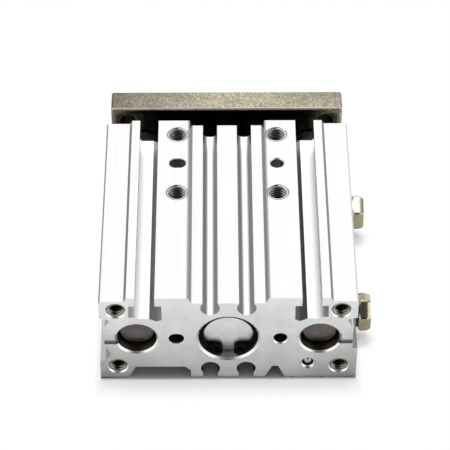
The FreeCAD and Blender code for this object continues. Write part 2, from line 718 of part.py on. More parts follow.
def make_screws():
    guide = (dim.guide_screw, dim.guide_screw_head, dim.guide_screw_head_height,
             dim.guide_screw_length, dim.guide_screw_hex, dim.guide_screw_hex_depth)
    piston = (dim.piston_screw, dim.piston_screw_head, dim.piston_screw_head_height,
              dim.piston_screw_length, dim.piston_screw_hex, dim.piston_screw_hex_depth)
    return [cap_screw("guide_rod_screw_left", *guide, -guide_x),
            cap_screw("guide_rod_screw_right", *guide, guide_x),
            cap_screw("piston_rod_screw", *piston, 0)]


# ---- pieces fixed in the body ---------------------------------------------------------

def make_guide_bushes():
    inner = dim.guide_rod / 2 + dim.slide_gap
    outer = dim.bush_seat / 2 - dim.slide_gap / 2
    front_y = body_length - dim.bush_inset - dim.front_bush
    rear_y = body_length - dim.bush_seat_depth
    bushes = []
    for end, length, y in (("front", dim.front_bush, front_y), ("rear", dim.rear_bush, rear_y)):
        for side, x in (("left", -guide_x), ("right", guide_x)):
            name = "{}_guide_bush_{}".format(end, side)
            bushes.append(turned(name, tube(length, inner, outer), x, y))
    return bushes


def o_ring_groove(start):
    """Steps of a groove for the cover's O-ring, from its near edge."""
    outer, floor = cover_width / 2, dim.cover_seat / 2 - dim.o_ring
    end = start + dim.o_ring_seat
    return [(start, outer), (start, floor), (end, floor), (end, outer)]


def o_ring(name, groove_start):
    """O-ring in its groove, touching neither wall."""
    ring = doc.addObject("Part::Torus", name)
    ring.Label = name
    section = dim.o_ring / 2 - dim.slide_gap
    set_size(ring, "Radius1", dim.cover_seat / 2 - dim.o_ring / 2)
    set_size(ring, "Radius2", section)
    middle = groove_start + dim.o_ring_seat / 2
    ring.Placement = FreeCAD.Placement(vector(y=middle.value),
                                       FreeCAD.Rotation(vector(x=1), 90))
    ring.setExpression("Placement.Base.y", middle.text)
    return ring


def make_head_cover():
    """Rear cover between the ring groove and the shoulder of its seat."""
    start = dim.rear_ring_y + dim.ring_groove_width
    length = dim.head_cover_length
    outer = cover_width / 2
    groove_start = length - dim.o_ring_inset - dim.o_ring_seat
    hollow = dim.cover_hollow / 2
    cover = turned("head_cover", [
        (0, 0), (0, outer)] + o_ring_groove(groove_start) + [
        (length, outer), (length, hollow), (length - dim.hollow_depth, hollow),
        (length - dim.hollow_depth, 0)], y=start)
    return [cover, o_ring("head_cover_o_ring", start + groove_start)]


def make_rod_cover():
    """Front cover that carries the rod's bush and seal."""
    length = rod_cover_length
    outer, rod = cover_width / 2, dim.piston_rod / 2
    bush, seal = dim.rod_bush / 2, dim.rod_seal / 2
    bush_end = dim.rod_cover_lip + dim.rod_bush_length
    seal_start = length - dim.rod_seal_width - dim.rod_cover_lip
    open_rod = rod + dim.rod_clearance
    cover = turned("rod_cover", [
        (0, open_rod), (0, outer)] + o_ring_groove(dim.o_ring_inset) + [
        (length, outer), (length, seal), (seal_start, seal), (seal_start, open_rod),
        (bush_end, open_rod), (bush_end, bush), (dim.rod_cover_lip, bush),
        (dim.rod_cover_lip, open_rod)], y=front_shoulder)
    running = rod + dim.slide_gap
    bush_part = turned("rod_bush", tube(dim.rod_bush_length - dim.slide_gap, running,
                                        bush - dim.slide_gap / 2),
                       y=front_shoulder + dim.rod_cover_lip + dim.slide_gap / 2)
    lip = dim.seal_lip
    width = dim.rod_seal_width - dim.slide_gap
    seal_outer = seal - dim.slide_gap / 2
    rod_lip = rod + dim.seal_gap
    seal_part = turned("rod_seal", [
        (0, rod_lip), (lip, rod_lip + lip), (width, rod_lip + lip / 2), (width, seal_outer),
        (lip / 2, seal_outer), (0, seal_outer - lip / 2), (lip, (rod_lip + seal_outer) / 2),
        (0, rod_lip + lip / 2)], y=front_shoulder + seal_start + dim.slide_gap / 2)
    ring = o_ring("rod_cover_o_ring", front_shoulder + dim.o_ring_inset)
    return [cover, bush_part, seal_part, ring]


def make_bumpers():
    """Rubber rings that the piston meets at the ends of its travel."""
    outer = dim.bore / 2 - dim.bumper_gap
    inner = dim.piston_rod / 2 + dim.bumper_rod_gap
    section = tube(dim.bumper_thickness, inner, outer)
    rear = turned("rear_bumper", section, y=rear_shoulder)
    front = turned("front_bumper", section, y=front_shoulder - dim.bumper_thickness)
    return [rear, front]


def retaining_ring(name, groove_y):
    """Internal retaining ring: an eccentric open ring with two drilled, blunt lugs."""
    body = new_body(name)
    outer = dim.ring_groove - 2 * dim.ring_play
    half_split = dim.ring_split / 2
    band = new_sketch(body, name + "_band", "XZ_Plane")
    circle(band, 0, 0, outer)
    circle(band, 0, -dim.ring_offset, dim.ring_inner)
    pad(body, band, dim.ring_thickness, reverse=True)
    lugs = new_sketch(body, name + "_lug", "XZ_Plane")
    obround(lugs, half_split + dim.lug_width / 2, -dim.lug_z, dim.lug_width, dim.lug_height)
    mirrored(body, [pad(body, lugs, dim.ring_thickness, reverse=True)])
    split = new_sketch(body, name + "_split", "XZ_Plane")
    below = -dim.ring_groove / 2 - OVER
    outline(split, [(-half_split, below), (half_split, below), (half_split, 0),
                    (-half_split, 0)])
    pocket(body, split)
    trim = new_sketch(body, name + "_trim", "XZ_Plane")
    circle(trim, 0, 0, outer)
    circle(trim, 0, 0, outer + 2 * OVER)
    pocket(body, trim)
    holes = new_sketch(body, name + "_holes", "XZ_Plane")
    for across in (-1, 1):
        circle(holes, across * (half_split + dim.lug_height / 2), -dim.lug_z, dim.lug_hole)
    pocket(body, holes)
    place(body, y=groove_y + dim.ring_play)
    return body


def make_retaining_rings():
    front_y = body_length - dim.front_ring_y - dim.ring_groove_width
    return [retaining_ring("rear_retaining_ring", dim.rear_ring_y),
            retaining_ring("front_retaining_ring", front_y)]


def port_plug(name, port_y, turn):
    """Hexagon plug: its head outside, its stem in the side port."""
    body = new_body(name)
    head = new_sketch(body, name + "_head", "YZ_Plane")
    hexagon(head, dim.plug_flats, turn)
    pad(body, head, dim.plug_head)
    stem = new_sketch(body, name + "_stem", "YZ_Plane")
    circle(stem, 0, 0, dim.port_thread - 2 * dim.stem_gap)
    pad(body, stem, dim.stem_length + dim.gasket_thickness, reverse=True)
    # 30 degree bevels take the corners off both faces of the head
    corner = dim.plug_flats * HEX_CORNER / 2
    run = dim.plug_bevel * BEVEL_RUN
    bevel = new_sketch(body, name + "_bevels", "XY_Plane")
    outline(bevel, [(0, corner - run), (0, corner + OVER),
                    (dim.plug_bevel, corner + OVER), (dim.plug_bevel, corner)])
    outline(bevel, [(dim.plug_head, corner - run), (dim.plug_head - dim.plug_bevel, corner),
                    (dim.plug_head - dim.plug_bevel, corner + OVER),
                    (dim.plug_head, corner + OVER)])
    revolved(body, bevel, "Groove")
    place(body, half_width + dim.gasket_thickness, port_y, port_z)
    return body


def gasket(name, port_y):
    body = new_body(name)
    ring = new_sketch(body, name + "_ring", "YZ_Plane")
    circle(ring, 0, 0, dim.gasket)
    circle(ring, 0, 0, dim.port_thread)
    pad(body, ring, dim.gasket_thickness)
    place(body, half_width, port_y, port_z)
    return body


def make_plugs():
    pieces = []
    for end, port_y in port_places.items():
        pieces.append(port_plug(end + "_port_plug", port_y, PLUG_TURN[end]))
        pieces.append(gasket(end + "_plug_gasket", port_y))
    return pieces


def make_passage_ball():
    """Steel ball pressed into the open end of the rear passage."""
    ball = doc.addObject("Part::Sphere", "passage_ball")
    ball.Label = "passage_ball"
    radius = dim.passage_bore / 2 - dim.slide_gap / 2
    set_size(ball, "Radius", radius)
    sizes = {"x": dim.under_port_x, "y": radius + dim.passage_bevel, "z": passage_z}
    ball.Placement.Base = vector(*(size.value for size in sizes.values()))
    for axis, size in sizes.items():
        ball.setExpression("Placement.Base." + axis, size.text)
    return ball


# ---- build, check and write -----------------------------------------------------------

parts = [make_body(), make_tooling_plate(), *make_guide_rods(), make_piston_rod(),
         make_piston(), *make_piston_rings(), *make_screws(), *make_guide_bushes(),
         *make_head_cover(), *make_rod_cover(), *make_bumpers(), *make_retaining_rings(),
         *make_plugs(), make_passage_ball()]
doc.recompute()

failed = [item.Label for item in doc.Objects
          if "Invalid" in item.State or "Error" in item.State]
failed += [part.Label for part in parts
           if part.Shape.isNull() or not part.Shape.isValid() or len(part.Shape.Solids) != 1]
if failed:
    sys.exit("not built: " + ", ".join(failed))

os.makedirs("parts", exist_ok=True)
for part in parts:
    part.Shape.exportStep(os.path.join("parts", part.Label + ".step"))
    print("{:24s} {:10.2f} mm3".format(part.Label, part.Shape.Volume))
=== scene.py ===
import bpy
import bmesh
import json
import math
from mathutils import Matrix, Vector


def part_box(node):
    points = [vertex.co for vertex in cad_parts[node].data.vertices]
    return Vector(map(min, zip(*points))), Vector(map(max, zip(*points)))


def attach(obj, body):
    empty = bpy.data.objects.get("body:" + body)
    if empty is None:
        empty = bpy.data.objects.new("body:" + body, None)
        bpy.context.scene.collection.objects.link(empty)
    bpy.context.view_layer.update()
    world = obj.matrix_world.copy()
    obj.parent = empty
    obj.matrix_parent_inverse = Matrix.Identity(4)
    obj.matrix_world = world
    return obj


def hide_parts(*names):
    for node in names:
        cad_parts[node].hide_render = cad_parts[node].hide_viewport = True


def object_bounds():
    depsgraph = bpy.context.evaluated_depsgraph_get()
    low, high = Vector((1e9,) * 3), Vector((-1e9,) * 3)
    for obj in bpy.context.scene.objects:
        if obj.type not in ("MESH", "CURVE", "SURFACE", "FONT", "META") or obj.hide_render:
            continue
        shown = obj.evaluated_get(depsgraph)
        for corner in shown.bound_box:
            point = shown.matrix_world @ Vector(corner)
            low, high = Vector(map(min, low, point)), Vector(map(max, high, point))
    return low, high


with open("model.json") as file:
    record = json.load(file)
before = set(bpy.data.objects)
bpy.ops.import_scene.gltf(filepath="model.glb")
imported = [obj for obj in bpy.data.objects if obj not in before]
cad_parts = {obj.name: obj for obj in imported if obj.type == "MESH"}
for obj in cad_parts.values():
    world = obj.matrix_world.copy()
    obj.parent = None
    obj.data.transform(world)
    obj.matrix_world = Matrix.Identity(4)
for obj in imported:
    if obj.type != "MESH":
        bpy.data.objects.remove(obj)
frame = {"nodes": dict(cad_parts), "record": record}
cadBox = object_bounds()

mm = 0.001

# eye in mm, angles in degrees, lens and sensor in mm
view = {"eye": (-2.46, -329.8, 356.1), "down": 44.19, "turn": -0.296, "lens": 173.25, "sensor": 36.0}


def makeCamera():
    data = bpy.data.cameras.new("camera")
    data.lens = view["lens"]
    data.sensor_width = view["sensor"]
    data.clip_start = 0.01
    data.clip_end = 10
    camera = bpy.data.objects.new("camera", data)
    camera.location = Vector(view["eye"]) * mm
    camera.rotation_euler = (math.radians(90 - view["down"]), 0, math.radians(view["turn"]))
    bpy.context.collection.objects.link(camera)
    bpy.context.scene.camera = camera


studio = {"floorSize": 3.0, "floorColour": 0.93, "nearGlow": 0.42, "nearEdge": (0.0, 0.9),
          "farEdge": (0.6, 7.5), "paintedShadeUnder": 0.5, "sideFade": 4.0, "plugShade": 0.7,
          "plugEdge": (1.2, 4.0), "plugInset": (2, 1), "worldDiffuse": 0.56, "boxSize": 0.7,
          "boxHeight": 0.55, "boxBack": 0.12, "boxPower": 2.2}

# what polished metal finds around it: a broad soft box above and behind, a brighter patch to each
# side in front, and a dim room
surround = {"boxFacing": (0, 0.45, 0.89), "boxEdge": (0.60, 0.88), "boxLevel": 0.93,
            "leftFacing": (-0.87, -0.48, 0.12), "leftEdge": (0.62, 0.92), "leftLevel": 1.3,
            "rightFacing": (0.87, -0.48, 0.12), "rightEdge": (0.74, 0.93), "rightLevel": 1.3,
            "roomLevel": 0.23, "roomTilt": (0.12, 0.29), "roomLeast": 0.03}


def makeFloor():
    # matt paper that fades to the plain white backdrop away from the part; its colour darkens near the part
    # as painted shade
    low = cadBox[0].z
    half = studio["floorSize"] / 2
    mesh = bpy.data.meshes.new("floor")
    mesh.from_pydata([(-half, -half, low), (half, -half, low), (half, half, low), (-half, half, low)],
                     [], [(0, 1, 2, 3)])
    floor = bpy.data.objects.new("floor", mesh)
    bpy.context.collection.objects.link(floor)
    tree = Tree("floorPaper")
    matt = tree.node("BsdfDiffuse")
    where = tree.node("TexCoord").outputs["Object"]
    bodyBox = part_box("body")
    centre = (bodyBox[0] + bodyBox[1]) / 2
    offset = tree.vector("SUBTRACT", where, (centre.x, centre.y, low))
    halfBody = tuple((bodyBox[1] - bodyBox[0]) / 2)
    beyond = tree.vector("SUBTRACT", tree.vector("ABSOLUTE", offset), halfBody)
    away = tree.vector("LENGTH", tree.vector("MULTIPLY", tree.vector("MAXIMUM", beyond, (0, 0, 0)),
                                             (studio["sideFade"], 1, 0)))
    near = tree.edge(away, studio["nearEdge"])
    far = tree.edge(away, studio["farEdge"])
    # painted shade: the paper's own colour darkens towards and under the part
    level = tree.span(near, studio["floorColour"] * studio["paintedShadeUnder"], studio["floorColour"])
    tree.link(level, matt.inputs["Color"])
    share = tree.math("ADD", tree.math("MULTIPLY", near, studio["nearGlow"]),
                      tree.math("MULTIPLY", far, 1 - studio["nearGlow"]))
    insetX, insetY = studio["plugInset"]
    for plug in plugs["turn"]:
        # the shadow below a plug stays
        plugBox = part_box(plug)
        spot = (plugBox[1].x - insetX * mm, plugBox[0].y + insetY * mm, low)
        offset = tree.vector("SUBTRACT", where, spot)
        clear = tree.edge(tree.vector("LENGTH", offset), studio["plugEdge"])
        share = tree.math("MULTIPLY", share, tree.span(clear, 1 - studio["plugShade"], 1))
    share = tree.math("MULTIPLY", share, tree.node("LightPath").outputs["Is Camera Ray"])
    mix = tree.node("MixShader")
    tree.link(share, mix.inputs[0])
    tree.link(matt.outputs[0], mix.inputs[1])
    tree.link(tree.node("Emission").outputs[0], mix.inputs[2])
    tree.link(mix.outputs[0], tree.nodes["Material Output"].inputs["Surface"])
    tree.nodes.remove(tree.shader)
    mesh.materials.append(tree.material)


def makeWorld():
    world = bpy.data.worlds.new("world")
    bpy.context.scene.world = world
    world.use_nodes = True
    nodes, links = world.node_tree.nodes, world.node_tree.links
    nodes.clear()
    sky = nodes.new("ShaderNodeTexCoord").outputs["Generated"]
    path = nodes.new("ShaderNodeLightPath")

    def calculate(operation, first, second):
        node = nodes.new("ShaderNodeMath")
        node.operation = operation
        for socket, value in zip(node.inputs, (first, second)):
            if isinstance(value, (int, float)):
                socket.default_value = value
            else:
                links.new(value, socket)
        return node.outputs[0]

    def glow(side):
        # soft edged patch of light about one direction
        dot = nodes.new("ShaderNodeVectorMath")
        dot.operation = "DOT_PRODUCT"
        dot.inputs[1].default_value = Vector(surround[side + "Facing"]).normalized()
        links.new(sky, dot.inputs[0])
        edge = nodes.new("ShaderNodeMapRange")
        edge.interpolation_type = "SMOOTHSTEP"
        edge.inputs["From Min"].default_value = surround[side + "Edge"][0]
        edge.inputs["From Max"].default_value = surround[side + "Edge"][1]
        links.new(dot.outputs["Value"], edge.inputs["Value"])
        return calculate("MULTIPLY", edge.outputs["Result"], surround[side + "Level"])

    split = nodes.new("ShaderNodeSeparateXYZ")
    links.new(sky, split.inputs[0])
    tiltX, tiltY = surround["roomTilt"]
    room = calculate("ADD", calculate("MULTIPLY", split.outputs["X"], tiltX),
                     calculate("MULTIPLY", split.outputs["Y"], tiltY))
    room = calculate("MAXIMUM", calculate("ADD", room, surround["roomLevel"]), surround["roomLeast"])
    seen = calculate("ADD", room, glow("box"))
    seen = calculate("ADD", seen, glow("left"))
    seen = calculate("ADD", seen, glow("right"))
    glossy = nodes.new("ShaderNodeMix")
    links.new(path.outputs["Is Glossy Ray"], glossy.inputs["Factor"])
    glossy.inputs["A"].default_value = studio["worldDiffuse"]
    links.new(seen, glossy.inputs["B"])
    plain = calculate("MAXIMUM", path.outputs["Is Camera Ray"], path.outputs["Is Transmission Ray"])
    strength = nodes.new("ShaderNodeMix")
    links.new(plain, strength.inputs["Factor"])
    links.new(glossy.outputs["Result"], strength.inputs["A"])
    strength.inputs["B"].default_value = 1
    background = nodes.new("ShaderNodeBackground")
    out = nodes.new("ShaderNodeOutputWorld")
    links.new(strength.outputs["Result"], background.inputs["Strength"])
    background.inputs["Color"].default_value = (1, 1, 1, 1)
    links.new(background.outputs[0], out.inputs["Surface"])


def makeLamp():
    data = bpy.data.lights.new("softbox", "AREA")
    data.shape = "SQUARE"
    data.size = studio["boxSize"]
    data.energy = studio["boxPower"]
    lamp = bpy.data.objects.new("softbox", data)
    centre = (cadBox[0] + cadBox[1]) / 2
    lamp.location = centre + Vector((0, studio["boxBack"], studio["boxHeight"]))
    lamp.rotation_euler = (centre - lamp.location).to_track_quat("-Z", "Y").to_euler()
    lamp.visible_glossy = False  # metal finds the world's own soft box instead
    bpy.context.collection.objects.link(lamp)


class Tree:
    # short hand for building a material's node tree
    def __init__(self, name):
        self.material = bpy.data.materials.new(name)
        self.material.use_nodes = True
        self.nodes = self.material.node_tree.nodes
        self.links = self.material.node_tree.links
        self.shader = self.nodes["Principled BSDF"]

    def node(self, kind, **settings):
        made = self.nodes.new("ShaderNode" + kind)
        for name, value in settings.items():
            setattr(made, name, value)
        return made

    def link(self, source, target):
        self.links.new(source, target)

    def feed(self, sockets, values):
        for socket, value in zip(sockets, values):
            if isinstance(value, bpy.types.NodeSocket):
                self.link(value, socket)
            else:
                socket.default_value = value

    def coordinates(self, stretch=(1, 1, 1)):
        place = self.node("TexCoord")
        mapping = self.node("Mapping")
        mapping.inputs["Scale"].default_value = stretch
        self.link(place.outputs["Object"], mapping.inputs["Vector"])
        return mapping.outputs["Vector"]

    def axes(self, output):
        split = self.node("SeparateXYZ")
        self.link(self.node("TexCoord").outputs[output], split.inputs[0])
        return split.outputs["X"], split.outputs["Y"], split.outputs["Z"]

    def noise(self, vector, scale, detail=4.0, roughness=0.55):
        made = self.node("TexNoise")
        made.inputs["Scale"].default_value = scale
        made.inputs["Detail"].default_value = detail
        made.inputs["Roughness"].default_value = roughness
        self.link(vector, made.inputs["Vector"])
        return made.outputs["Fac"]

    def tones(self, factor, dark, light, stops=(0.3, 0.7)):
        # a noise's values mostly lie between 0.3 and 0.7
        made = self.node("ValToRGB")
        for element, place, colour in zip(made.color_ramp.elements, stops, (dark, light)):
            element.position = place
            element.color = tuple(colour) + (1,)
        self.link(factor, made.inputs["Fac"])
        return made.outputs["Color"]

    def span(self, factor, low, high, start=0.0, end=1.0):
        made = self.node("MapRange")
        self.feed((made.inputs["Value"], made.inputs["From Min"], made.inputs["From Max"],
                   made.inputs["To Min"], made.inputs["To Max"]), (factor, start, end, low, high))
        return made.outputs["Result"]

    def fade(self, value, tones, places):
        # from one tone to the other between two places in mm
        return self.span(value, *tones, places[0] * mm, places[1] * mm)

    def mix(self, factor, first, second):
        made = self.node("Mix", data_type="RGBA")
        self.feed((made.inputs["Factor"], made.inputs["A"], made.inputs["B"]), (factor, first, second))
        return made.outputs["Result"]

    def math(self, operation, *values):
        made = self.node("Math", operation=operation)
        self.feed(made.inputs, values)
        return made.outputs[0]

    def vector(self, operation, *values):
        made = self.node("VectorMath", operation=operation)
        self.feed(made.inputs, values)
        return made.outputs["Value" if operation in ("LENGTH", "DOT_PRODUCT") else "Vector"]

    def shade(self, colour, factor):
        made = self.node("VectorMath", operation="SCALE")
        self.feed((made.inputs[0], made.inputs["Scale"]), (colour, factor))
        return made.outputs["Vector"]

    def step(self, value, low, high):
        made = self.node("MapRange", interpolation_type="SMOOTHSTEP")
        self.feed((made.inputs["Value"], made.inputs["From Min"], made.inputs["From Max"]),
                  (value, low, high))
        return made.outputs["Result"]

    def edge(self, value, places):
        # soft change between two places in mm
        return self.step(value, places[0] * mm, places[1] * mm)

    def above(self, value, place):
        return self.math("GREATER_THAN", value, place * mm)

    def below(self, value, place):
        return self.math("LESS_THAN", value, place * mm)

    def both(self, *masks):
        result = masks[0]
        for mask in masks[1:]:
            result = self.math("MULTIPLY", result, mask)
        return result

    def either(self, masks):
        result = masks[0]
        for mask in masks[1:]:
            result = self.math("MAXIMUM", result, mask)
        return result

    def opposite(self, mask):
        return self.math("SUBTRACT", 1, mask)

    def distance(self, first, second, centre):
        # distance from a line that runs along the third axis, centre in mm
        one = self.math("SUBTRACT", first, centre[0] * mm)
        two = self.math("SUBTRACT", second, centre[1] * mm)
        squares = self.math("ADD", self.math("MULTIPLY", one, one), self.math("MULTIPLY", two, two))
        return self.math("SQRT", squares)

    def dress(self, colour, rough, grain, bump, metallic=1.0):
        # bump is its strength and its height in mm
        strength, height = bump
        self.link(colour, self.shader.inputs["Base Color"])
        self.link(rough, self.shader.inputs["Roughness"])
        self.shader.inputs["Metallic"].default_value = metallic
        made = self.node("Bump")
        made.inputs["Strength"].default_value = strength
        made.inputs["Distance"].default_value = height * mm
        self.link(grain, made.inputs["Height"])
        self.link(made.outputs["Normal"], self.shader.inputs["Normal"])
        return self.material


def grey(value, tint=(1, 1, 1)):
    # a tint at the given strength, no channel above 1
    return tuple(min(value * part, 1.0) for part in tint)


# tones of the extrusion's skin by where it lies and how it faces, which paint its light and shade,
# then its patterns; outer, slotWall and groove are for faces that look left and right, slotWall in
# the right-hand slot only, endFall runs from the foot up and endCorner towards the lower corners
extrusionFinishAndPaintedLight = {
    "top": 0.79, "slotFloor": 1.0, "side": 0.54, "flank": 0.97, "ledge": 0.21, "vent": 0.62,
    "slope": 0.36, "under": 0.20, "outer": (0.42, 0.95), "slotWall": (0.34, 0.27),
    "groove": (0.62, 0.44), "cutEnd": 0.78, "endFall": (0.86, 1.04), "endCorner": (1.06, 0.54),
    "bore": 0.22, "holeWall": (0.95, 0.42), "splitGlint": 0.50, "bevel": 0.95, "nick": 0.10,
    "tint": (0.99, 1.0, 0.99), "endTint": (0.975, 1.0, 0.975), "boreTint": (1.12, 1.0, 0.88),
    "spread": 0.03, "cutSpread": 0.10, "rough": 0.34, "roughSpread": (0.06, 0.08),
    "streakScale": 2600, "streakStretch": (1, 0.012, 1), "grainScale": 3800, "cloudScale": 230,
    "mottle": (0.55, 0.45), "nickScale": 900, "nickShare": (0.50, 0.58), "bump": (0.25, 0.02)}

# where those tones lie, mm: across from the middle, up from it, or in from an edge
extrusionPlaces = {
    "high": 4, "groove": 6.4, "landHeight": 12.5, "landEdge": (9.4, 9.15), "ventHeight": 2.4,
    "underHeight": -7, "underWidth": 16, "flank": (27.5, 28), "slotInner": (13, 13.2),
    "slotOuter": (23, 22.8), "slotFloor": (11, 10.8), "outer": 28, "endFall": (-13, 13),
    "endCorner": (22, 42), "splitWidth": 1.6, "splitTop": -4, "splitDepth": 3,
    "nickHeight": (-12.6, -12.9), "nickDepth": (0.35, 0.1), "holeMargin": 0.03, "bevelShare": 1.03}

# how far a face turns towards up or along Y where the tones change, by its normal
extrusionFacing = {
    "up": (0.86, 0.98), "end": (0.90, 0.98), "slopeStart": (0.30, 0.36), "slopeEnd": (0.86, 0.80),
    "slopeAlong": 0.2, "holeWall": (0.2, 0.9)}

# bores along Y: centre, radius of the mouth and depth of its bevel, mm
endBores = [((0, 0), 7.25, 0.5), ((20.5, 0), 4.9, 0.4), ((25, 9), 2.4, 0.35), ((25, -9), 2.4, 0.35),
            ((11.65, 0), 2.1, 0.25), ((18, -8.2), 1.5, 0.45)]

# holes in the slotted face: centre, radius of the mouth and depth of its bevel, mm
topHoles = [((11.65, 34), 2.65, 0.12), ((11.65, 54), 2.65, 0.12), ((11.65, 44), 2.3, 0.25)]


def anodisedAluminium():
    # painted light and shade: bright top and slot floors, darker sides, slopes, recesses and bores, painted
    # highlights on bevels; satin cut ends
    finish, places, facing = extrusionFinishAndPaintedLight, extrusionPlaces, extrusionFacing
    tree = Tree("anodisedAluminium")
    both, either, opposite = tree.both, tree.either, tree.opposite
    streaks = tree.noise(tree.coordinates(finish["streakStretch"]), finish["streakScale"], 5, 0.6)
    grain = tree.noise(tree.coordinates(), finish["grainScale"], 6, 0.65)
    cloud = tree.noise(tree.coordinates(), finish["cloudScale"], 4, 0.55)
    x, y, z = tree.axes("Object")
    normalX, normalY, normalZ = tree.axes("Normal")
    across = tree.math("ABSOLUTE", x)
    cloudShare, grainShare = finish["mottle"]
    mottle = tree.math("ADD", tree.math("MULTIPLY", cloud, cloudShare),
                       tree.math("MULTIPLY", grain, grainShare))

    def shades(factor, level, spread=finish["spread"], tint=finish["tint"]):
        return tree.tones(factor, grey(level - spread, tint), grey(level + spread, tint))

    isRight = tree.math("GREATER_THAN", normalX, 0)

    def leftAndRight(tones):
        return tree.mix(isRight, shades(streaks, tones[0]), shades(streaks, tones[1]))

    isUp = tree.step(normalZ, *facing["up"])
    isHigh = tree.above(z, places["high"])
    isEnd = tree.step(tree.math("ABSOLUTE", normalY), *facing["end"])
    isSlope = both(tree.step(normalZ, *facing["slopeStart"]), tree.step(normalZ, *facing["slopeEnd"]),
                   isHigh, tree.math("LESS_THAN", tree.math("ABSOLUTE", normalY), facing["slopeAlong"]),
                   tree.above(across, places["groove"]))
    landEdge = both(isUp, tree.above(z, places["landHeight"]), tree.edge(across, places["landEdge"]))
    isVent = both(isUp, tree.below(tree.math("ABSOLUTE", z), places["ventHeight"]))
    isUnder = both(tree.below(z, places["underHeight"]), tree.below(across, places["underWidth"]))
    # painted light and shade: each face takes a tone by how it faces and where it lies
    colour = tree.mix(tree.edge(across, places["flank"]), shades(streaks, finish["side"]),
                      shades(streaks, finish["flank"]))
    # painted shade on the right-hand slot's walls, one tone for each way they face
    inRightSlot = both(tree.edge(across, places["slotInner"]), tree.edge(across, places["slotOuter"]),
                       isHigh, tree.above(x, 0))
    colour = tree.mix(inRightSlot, colour, leftAndRight(finish["slotWall"]))
    # painted light on the faces that look up
    colour = tree.mix(isUp, colour, shades(streaks, finish["top"]))
    # painted light on the slot floors
    isSlotFloor = both(isUp, tree.edge(z, places["slotFloor"]))
    colour = tree.mix(isSlotFloor, colour, shades(streaks, finish["slotFloor"]))
    # painted shade on the ledges, the vents and the underside
    colour = tree.mix(both(isUp, opposite(isHigh)), colour, shades(streaks, finish["ledge"]))
    colour = tree.mix(isVent, colour, shades(streaks, finish["vent"]))
    colour = tree.mix(isUnder, colour, shades(streaks, finish["under"]))
    # painted shade on the groove walls, one tone for each way they face
    isGroove = both(tree.below(across, places["groove"]), isHigh, opposite(isUp))
    colour = tree.mix(isGroove, colour, leftAndRight(finish["groove"]))
    # painted shade on the slopes and along the land edges
    colour = tree.mix(either([isSlope, landEdge]), colour, shades(streaks, finish["slope"]))
    # painted light and shade on the outer slopes, one tone for each way they face
    isOuter = both(isSlope, tree.above(across, places["outer"]))
    colour = tree.mix(isOuter, colour, leftAndRight(finish["outer"]))
    # painted shade on the cut end, darker towards its foot and its lower corners, over its mottle
    sawnAndShaded = shades(mottle, finish["cutEnd"], finish["cutSpread"], finish["endTint"])
    sawnAndShaded = tree.shade(sawnAndShaded, tree.fade(z, finish["endFall"], places["endFall"]))
    corner = tree.math("SUBTRACT", across, z)
    sawnAndShaded = tree.shade(sawnAndShaded, tree.fade(corner, finish["endCorner"], places["endCorner"]))
    colour = tree.mix(isEnd, colour, sawnAndShaded)
    boreMasks, bevelMasks = [], []
    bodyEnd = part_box("body")[1]
    depthY = tree.math("MINIMUM", y, tree.math("SUBTRACT", bodyEnd.y, y))
    depthZ = tree.math("SUBTRACT", bodyEnd.z, z)
    for holes, other, depth, flat in ((endBores, z, depthY, isEnd), (topHoles, y, depthZ, isUp)):
        for centre, radius, bevel in holes:
            inside = tree.below(tree.distance(across, other, centre), radius + places["holeMargin"])
            deep = tree.above(depth, bevel * places["bevelShare"])
            boreMasks.append(both(inside, deep))
            bevelMasks.append(both(inside, opposite(deep), opposite(flat)))
    endBore = either(boreMasks[:len(endBores)])
    # painted shade in the bores along Y
    dark = shades(cloud, finish["bore"], finish["spread"], finish["boreTint"])
    colour = tree.mix(endBore, colour, dark)
    # a pale glint low in the cylinder bore, just inside its mouth
    split = both(endBore, tree.below(across, places["splitWidth"]), tree.below(z, places["splitTop"]),
                 tree.below(y, places["splitDepth"]))
    colour = tree.mix(split, colour, shades(cloud, finish["splitGlint"]))
    # painted light and shade on the walls of the holes in the slotted face, paler on walls that face
    # sideways
    lean = tree.math("ABSOLUTE", normalY)
    wall = tree.shade((1, 1, 1), tree.span(lean, *finish["holeWall"], *facing["holeWall"]))
    colour = tree.mix(either(boreMasks[len(endBores):]), colour, wall)
    # painted highlight on the bevels round the bores and holes
    colour = tree.mix(either(bevelMasks), colour, shades(cloud, finish["bevel"]))
    # dark nicks along the lower edge of the cut end
    lowEdge = both(tree.edge(z, places["nickHeight"]), tree.edge(y, places["nickDepth"]))
    patches = tree.noise(tree.coordinates(), finish["nickScale"], 3, 0.6)
    nicks = both(lowEdge, tree.step(patches, *finish["nickShare"]))
    colour = tree.mix(nicks, colour, shades(cloud, finish["nick"]))
    less, more = finish["roughSpread"]
    rough = tree.span(grain, finish["rough"] - less, finish["rough"] + more)
    return tree.dress(colour, rough, grain, finish["bump"])


plateFinish = {
    "dark": (0.24, 0.21, 0.16), "light": (0.62, 0.56, 0.435), "sparkleTone": (0.85, 0.79, 0.65),
    "holePaintedShade": (0.03, 0.028, 0.022), "edge": (0.95, 0.90, 0.77), "grainStops": (0.33, 0.67),
    "grainScale": 2300, "sparkleScale": 0.8, "sparkle": (0.58, 0.76), "cloudScale": 160,
    "cloudTones": (0.82, 1.15), "endTones": (0.50, 0.84), "rearPaintedShade": (0.07, 0.75),
    "rearShades": (0.9, 1.25), "rearGrain": 0.35, "rearPolish": 0.16, "rough": 0.42,
    "roughSpread": (0.12, 0.10), "bump": (0.5, 0.03)}

# where those tones lie on the plate, mm: across from the middle, or in from an edge
platePlaces = {"leftEnd": (-27, 0), "rightEnd": (5, 27), "rear": (20, 28), "holeAxis": (24, 7),
               "holeRadius": 2.3, "holeDepth": 0.3, "edgeDepth": 0.3}
plateFacing = {"rear": (-0.9, -0.97), "edgeBack": -0.15, "edgeUp": (0.1, 0.3)}


